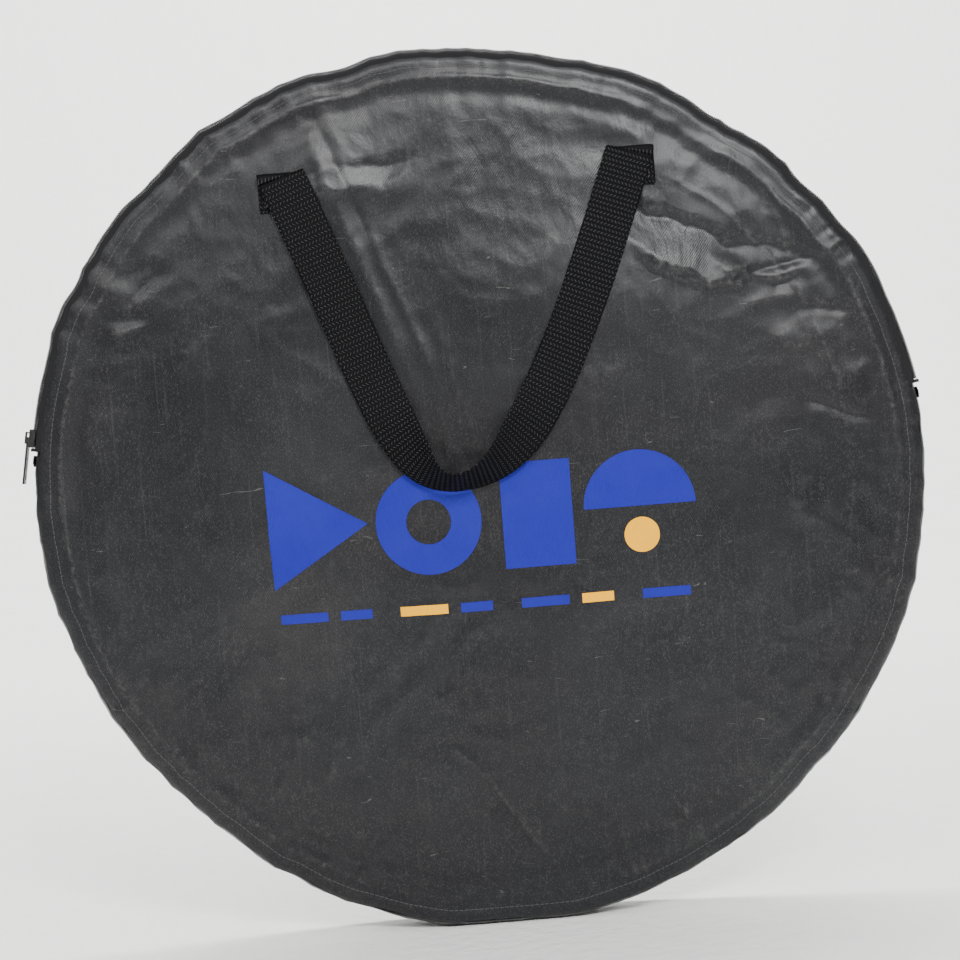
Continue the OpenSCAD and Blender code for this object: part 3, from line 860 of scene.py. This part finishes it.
def binding(name, inner_y, outer_y, nodes):
    """Tape folded over the raw edges inside the bag."""
    mid, half = (inner_y + outer_y) / 2, (outer_y - inner_y) / 2
    loop = [(HEM_R - 2.75 + 2.2 * math.cos(a), mid + half * math.sin(a))
            for a in np.linspace(0, 2 * math.pi, 11)]
    piece = turned(name, loop, (0, 360), 500, binding_cloth, 0.25)
    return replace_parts(piece, *nodes)


low, high = corner("seam_binding_front", 0)[1], corner("seam_binding_front", 1)[1]
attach(binding("front_seam_binding", low, high, ["seam_binding_front"]), "bag")
low, high = corner("seam_binding_back_lower", 0)[1], corner("seam_binding_back_lower", 1)[1]
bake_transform(binding("back_seam_binding", low, high,
                 ["seam_binding_back_lower", "seam_binding_back_upper"]))


def stitches(name, lines, pitch, lift, surface, thread=0.28):
    """Short stitches along straight or curved lines that lie on a surface."""
    points, faces = [], []
    for line in lines:
        line = np.asarray(line, float)
        run = np.concatenate([[0], np.cumsum(np.linalg.norm(np.diff(line, axis=0), axis=1))])
        for k in range(int(run[-1] / pitch)):
            for s in np.linspace(0.12, 0.88, 5):
                at = (k + s) * pitch
                here = [np.interp(at, run, line[:, i]) for i in (0, 1)]
                then = [np.interp(at + 0.1, run, line[:, i]) for i in (0, 1)]
                ahead = np.subtract(then, here)
                side = np.array([-ahead[1], ahead[0]]) / max(np.linalg.norm(ahead), 1e-9)
                bow = math.sin(math.pi * (s - 0.12) / 0.76)
                for c, rise in ((-1, 0.0), (0, 1.0), (1, 0.0)):
                    spot = here + side * c * thread
                    points.append([spot[0], spot[1], lift * (0.2 + bow) + rise * thread])
            first = len(points) - 15
            faces += grid_faces(5, 3, first=first)
    points = np.array(points)
    return mesh_piece(name, surface(points[:, 0], points[:, 1], points[:, 2]), faces,
                      material=thread_nylon)


turn = np.radians(np.linspace(0, 360, 700))
hem_line = np.stack([(HEM_R - 2.2) * np.cos(turn), (HEM_R - 2.2) * np.sin(turn)], axis=1)
hem = stitches("hem_stitching", [hem_line], 3.2, 0.15, front_face)
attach(hem, "bag")

# ---------------------------------------------------------------- handle

FOLD_R = 1.9
LOW_X = -15.0
LOW_H = LOOP_LOW + 0.8
TAB_END = TAB_LOW[2] - AXIS_Z
TAB_HIGH = TAB_TOP[2] - AXIS_Z
TAB_Y = (TAB_LOW[1] + TAB_TOP[1]) / 2
LEAN = math.radians(21)


def leg_line(s, u):
    """Centre of the webbing and how far it has turned, from the fold to the lowest point."""
    p0 = np.array([s * GRIP_X, GRIP_H])
    p1 = p0 + 128 * np.array([-s * math.sin(LEAN), -math.cos(LEAN)])
    p2 = np.array([LOW_X + s * (38 + 6 * s), LOW_H])
    v = 1 - u
    p = v ** 3 * p0 + 3 * v * v * u * p1 + 3 * v * u * u * p2 + u ** 3 * np.array([LOW_X, LOW_H])
    turned_by = math.radians(66 * smooth((u - 0.42) / 0.56))
    y = FOLD_Y - FOLD_R - STRAP_W / 2 * math.sin(turned_by)
    return np.array([p[0], y, p[1]]), turned_by


def half_strap(s):
    """Rings (centre, width vector) from the tab's lower end to the loop's lowest point."""
    rings = []
    for h in np.linspace(TAB_END, TAB_HIGH, 30):
        rings.append((np.array([s * GRIP_X, TAB_Y, h]), np.array([-s, 0, 0.0])))
    back = np.array([s * GRIP_X, TAB_Y, TAB_HIGH])
    over = np.array([s * GRIP_X, FOLD_Y, GRIP_H + FOLD_R])
    for t in np.linspace(0, 1, 12)[1:]:
        a = t * math.pi / 2
        rise = (over[2] - back[2]) * math.sin(a)
        rings.append((np.array([back[0], back[1] + (over[1] - back[1]) * (1 - math.cos(a)),
                                back[2] + rise]), np.array([-s, 0, 0.0])))
    for b in np.radians(np.linspace(0, 75, 10)[1:]):
        rings.append((np.array([s * GRIP_X, FOLD_Y - FOLD_R * math.sin(b),
                                GRIP_H + FOLD_R * math.cos(b)]), np.array([-s, 0, 0.0])))
    for u in np.linspace(0.004, 1, 620):
        c, turned_by = leg_line(s, u)
        ahead = leg_line(s, min(1, u + 0.002))[0] - leg_line(s, max(0, u - 0.002))[0]
        if u == 1:
            ahead = np.array([-s, 0, 0.0])
        across = np.array([-ahead[2], 0, ahead[0]]) * -s
        across /= np.linalg.norm(across)
        w = math.cos(turned_by) * across * -1 + np.array([0, math.sin(turned_by), 0])
        rings.append((c, w / np.linalg.norm(w)))
    return rings


def handle():
    left, right = half_strap(-1), half_strap(1)
    rings = left + right[-2::-1]
    centre = np.array([c for c, _ in rings])
    width = np.array([w for _, w in rings])
    run = np.concatenate([[0], np.cumsum(np.linalg.norm(np.diff(centre, axis=0), axis=1))])
    even = np.arange(0, run[-1], 0.42)
    centre = np.stack([np.interp(even, run, centre[:, i]) for i in range(3)], axis=1)
    width = np.stack([np.interp(even, run, width[:, i]) for i in range(3)], axis=1)
    ahead = np.gradient(centre, axis=0)
    ahead /= np.linalg.norm(ahead, axis=1)[:, None]
    width -= (width * ahead).sum(1)[:, None] * ahead
    width /= np.linalg.norm(width, axis=1)[:, None]
    normal = np.cross(width, ahead)
    across = np.concatenate([np.linspace(-1, 1, 17), np.linspace(1, -1, 17)])
    face = np.repeat([1.0, -1.0], 17)
    rib = 0.14 * np.cos(2 * np.pi * even / RIB)
    sway = 0.35 * wave_noise(even / 40, 0.0, 3.0) + 0.1 * wave_noise(even / 9, 4.0, 3.0)
    loops = 0.22 * np.abs(np.sin(np.pi * even / RIB))
    half = STRAP_W / 2 - 0.3 + sway[:, None] * np.abs(across) ** 6 + loops[:, None] * 0.6
    thick = (STRAP_T / 2 - 0.16 + rib[:, None]) * (1 - 0.45 * np.abs(across) ** 8)
    cup = 0.5 * wave_noise(even / 60, 8.0, 1.0)[:, None] * across ** 2
    points = (centre[:, None] + width[:, None] * (across * half)[..., None]
              + normal[:, None] * (face * thick + cup)[..., None])
    uv = np.stack(np.broadcast_arrays(across * STRAP_W / 2 * MM, even[:, None] * MM), axis=-1)
    count = len(across)
    faces = grid_faces(len(even), count, wrap_cols=True)
    faces += [tuple(range(count))[::-1], tuple(range((len(even) - 1) * count, len(even) * count))]
    return mesh_piece("handle_webbing", points, faces, uv=uv, material=strap_cloth)


strap = handle()
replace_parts(strap, "carry_handle", "handle_tab_left", "handle_tab_right")
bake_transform(strap)


def tab_seam(s):
    """A box of stitches with a cross in it."""
    x0, x1 = s * GRIP_X - 11, s * GRIP_X + 11
    h0, h1 = TAB_END + 4, TAB_HIGH - 4
    box = [(x0, h0), (x1, h0), (x1, h1), (x0, h1), (x0, h0)]
    return [box, [(x0, h0), (x1, h1)], [(x0, h1), (x1, h0)]]


def tab_surface(px, pz, lift):
    return np.stack([px, TAB_LOW[1] - 0.05 - lift, pz], axis=-1)


seams = stitches("tab_stitching", tab_seam(-1) + tab_seam(1), 2.6, 0.12, tab_surface)
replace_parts(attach(seams, "bag"), "handle_stitching")

# ---------------------------------------------------------------- the coiled reflector

cloth_noise = Noise(51)


def bundle(name, side, node, material, seed):
    """Half of the folded cloth: layered pleats that fan out to the coiled hoop."""
    n = 220
    x, z, faces = disc_grid(n)
    r, angle = np.hypot(x, z), np.arctan2(z, x)
    u = x * 3.2 + 0.5 * cloth_noise(x * 2, z * 2, seed)
    v = z * 3.2 + 0.5 * cloth_noise(x * 2, z * 2, seed + 3)
    pleat = np.abs(cloth_noise(u * 1.6 + v * 0.5, v * 2.3 - u * 0.6, seed + 1)) ** 0.7
    spokes = np.abs(cloth_noise(np.cos(angle) * 9, np.sin(angle) * 9, seed + r * 1.4)) ** 0.7
    fine = np.abs(cloth_noise(u * 5, v * 5, seed + 5)) ** 0.8
    depth = 13.4 - 12 * pleat - 11 * spokes * r ** 2 - 4.5 * fine
    depth = np.clip(depth, 2.0, 12.8) * np.sqrt(np.clip(1 - r ** 8, 0, 1)) + 0.3
    px, pz = x * CLOTH_R, z * CLOTH_R + DISC_Z
    top = np.stack([px, side * depth, pz], axis=-1)
    under = np.stack([px, np.full_like(px, side * 0.25), pz], axis=-1)
    count = len(px)
    faces = faces + [tuple(count + k for k in f[::-1]) for f in faces]
    edge = list(range(n)) + [i * n + n - 1 for i in range(1, n)]
    edge += [(n - 1) * n + j for j in range(n - 2, -1, -1)] + [i * n for i in range(n - 2, 0, -1)]
    faces += [(edge[k], edge[k - 1], count + edge[k - 1], count + edge[k])
              for k in range(len(edge))]
    piece = mesh_piece(name, np.concatenate([top, under]), faces, material=material)
    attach(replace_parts(piece, node), "reflector")
    return piece


# The strip's section, the room inside the sleeve and the cloth's thickness
STEEL_T, STEEL_W, SLEEVE_ROOM, SLEEVE_T = 1, 8, 0.2, 0.7
TURNS, TWIST_R, TWIST_Y = 3, 2.6, 7.6


def sleeve():
    """The hem sleeve that holds the coiled strip: a folded tape with small gathers."""
    in_r, in_w = STEEL_T / 2 + SLEEVE_ROOM, STEEL_W / 2 + SLEEVE_ROOM
    out_r, out_w = in_r + SLEEVE_T, in_w + SLEEVE_T
    # the first turn starts on the x axis, where the strand is farthest out
    hoop_r = corner("hoop_binding", 1)[0] - TWIST_R - out_r
    soft = 0.5
    half = [(-out_r, out_w), (0, out_w), (out_r - soft, out_w),
            (out_r - soft / 3, out_w - soft / 3), (out_r, out_w - soft), (out_r, out_w / 3)]
    outside = [(r, -y) for r, y in half] + half[::-1]
    inside = [(-out_r, in_w), (in_r, in_w), (in_r, -in_w), (-out_r, -in_w)]
    section = np.array(outside + inside)
    count = TURNS * 720
    a = np.radians(np.linspace(0, 360 * TURNS, count, endpoint=False))[:, None]
    dr, dy = section[:, 0][None], section[:, 1][None]
    loose = np.zeros(len(section))
    loose[1:len(outside) - 1] = 1
    gather = np.abs(cloth_noise(np.cos(a / TURNS) * 95, np.sin(a / TURNS) * 95, dy * 0.18))
    swell_out = 1 + loose[None] * 0.28 * gather
    lip = np.where(dr < 0, 0.5 * cloth_noise(np.cos(a / TURNS) * 60, np.sin(a / TURNS) * 60, dy), 0)
    r = hoop_r + TWIST_R * np.cos(a / TURNS) + dr * swell_out - np.abs(lip)
    y = TWIST_Y * np.sin(a / TURNS) + dy * (1 + loose[None] * 0.03 * gather)
    points = np.stack([r * np.cos(a), y, DISC_Z + r * np.sin(a)], axis=-1)
    piece = mesh_piece("hoop_sleeve_cloth", points,
                       grid_faces(count, len(section), wrap_rows=True, wrap_cols=True),
                       material=binding_cloth)
    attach(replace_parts(piece, "hoop_binding"), "reflector")


sleeve()
bundle("silver_cloth", -1, "fabric_silver", silver_foil, 0.0)
bundle("white_cloth", 1, "fabric_white", white_weave, 20.0)

# ---------------------------------------------------------------- hard parts kept from the frame

NODE_LOOKS = {
    "zip_stop_left": enamel, "zip_stop_right": enamel, "zip_slider": enamel, "pull_tab": enamel,
    "spring_hoop": steel, "hoop_sleeve": aluminium,
}
for node, look in NODE_LOOKS.items():
    shown = frame["nodes"][node].data
    shown.materials.clear()
    shown.materials.append(look)

# ---------------------------------------------------------------- floor, light and camera


def sweep_shader():
    m = Shader("pale_leatherette", (0.93, 0.93, 0.92), 0.62, spec=0.3)
    pebble = m.noise(m.where, 100, 5, 0.6)
    folds = m.noise(m.mapped(m.where, (1, 1, 0.5), (0, 30, 20)), 22, 5, 0.6, 1.4)
    m.bump(pebble, 0.0025, 0.7)
    m.bump(folds, 0.0025, 0.35)
    m.colour(m.mix(m.ramp(folds, 0.3, 0.7), (0.925, 0.92, 0.91), (0.95, 0.945, 0.93)))
    return m.material


def sweep():
    """A floor that curves up into a wall well behind the bag."""
    wall, bend = 3200, 1500
    run = [(-4000, 0), (wall - bend, 0)]
    run += [(wall - bend + bend * math.sin(a), bend - bend * math.cos(a))
            for a in np.linspace(0, math.pi / 2, 24)[1:]]
    run += [(wall, 4000)]
    points = [(x, y, z - AXIS_Z) for y, z in run for x in (-4500, 4500)]
    piece = mesh_piece("sweep", points, grid_faces(len(run), 2), material=sweep_shader())


def area_light(name, place, target, size, watts, colour=(1, 1, 1)):
    light = bpy.data.lights.new(name, "AREA")
    light.shape, light.size, light.size_y = "RECTANGLE", *size
    light.energy, light.color = watts, colour
    lamp = bpy.data.objects.new(name, light)
    lamp.location = place
    lamp.rotation_euler = (Vector(target) - Vector(place)).to_track_quat("-Z", "Y").to_euler()
    bpy.context.scene.collection.objects.link(lamp)


def world_light(strength):
    world = bpy.data.worlds.new("room")
    world.use_nodes = True
    back = world.node_tree.nodes["Background"]
    back.inputs["Color"].default_value = (1.0, 1.0, 1.0, 1)
    back.inputs["Strength"].default_value = strength
    bpy.context.scene.world = world


def main_camera():
    target = Vector((0, 0, AXIS_Z * MM + 0.0025))
    distance, rise = 1.42, math.radians(2.5)
    back = Vector((0, -math.cos(rise), math.sin(rise)))
    data = bpy.data.cameras.new("view")
    data.sensor_width = 36
    data.lens = 36 * distance / 0.608
    cam = bpy.data.objects.new("view", data)
    cam.location = target + back * distance
    turn = (-back).to_track_quat("-Z", "Y").to_matrix()
    cam.rotation_euler = (turn @ roll_matrix(-4.5)).to_euler()
    bpy.context.scene.collection.objects.link(cam)
    bpy.context.scene.camera = cam


def roll_matrix(degrees):
    """Turns the camera about its own line of sight."""
    return Matrix.Rotation(math.radians(degrees), 3, "Z")


sweep()
area_light("window", (0.40, -1.7, 1.28), (0, 0, 0.3), (0.6, 0.45), 42)
area_light("left_fill", (-0.75, -1.6, 1.3), (0, 0, 0.3), (0.9, 0.6), 15)
area_light("ceiling", (0, -0.5, 2.3), (0, 0.05, 0.1), (2.4, 1.6), 12)
area_light("wall_wash", (0, 0.9, 2.8), (0, 3.0, 0.8), (3.0, 0.8), 225)
world_light(0.46)
main_camera()
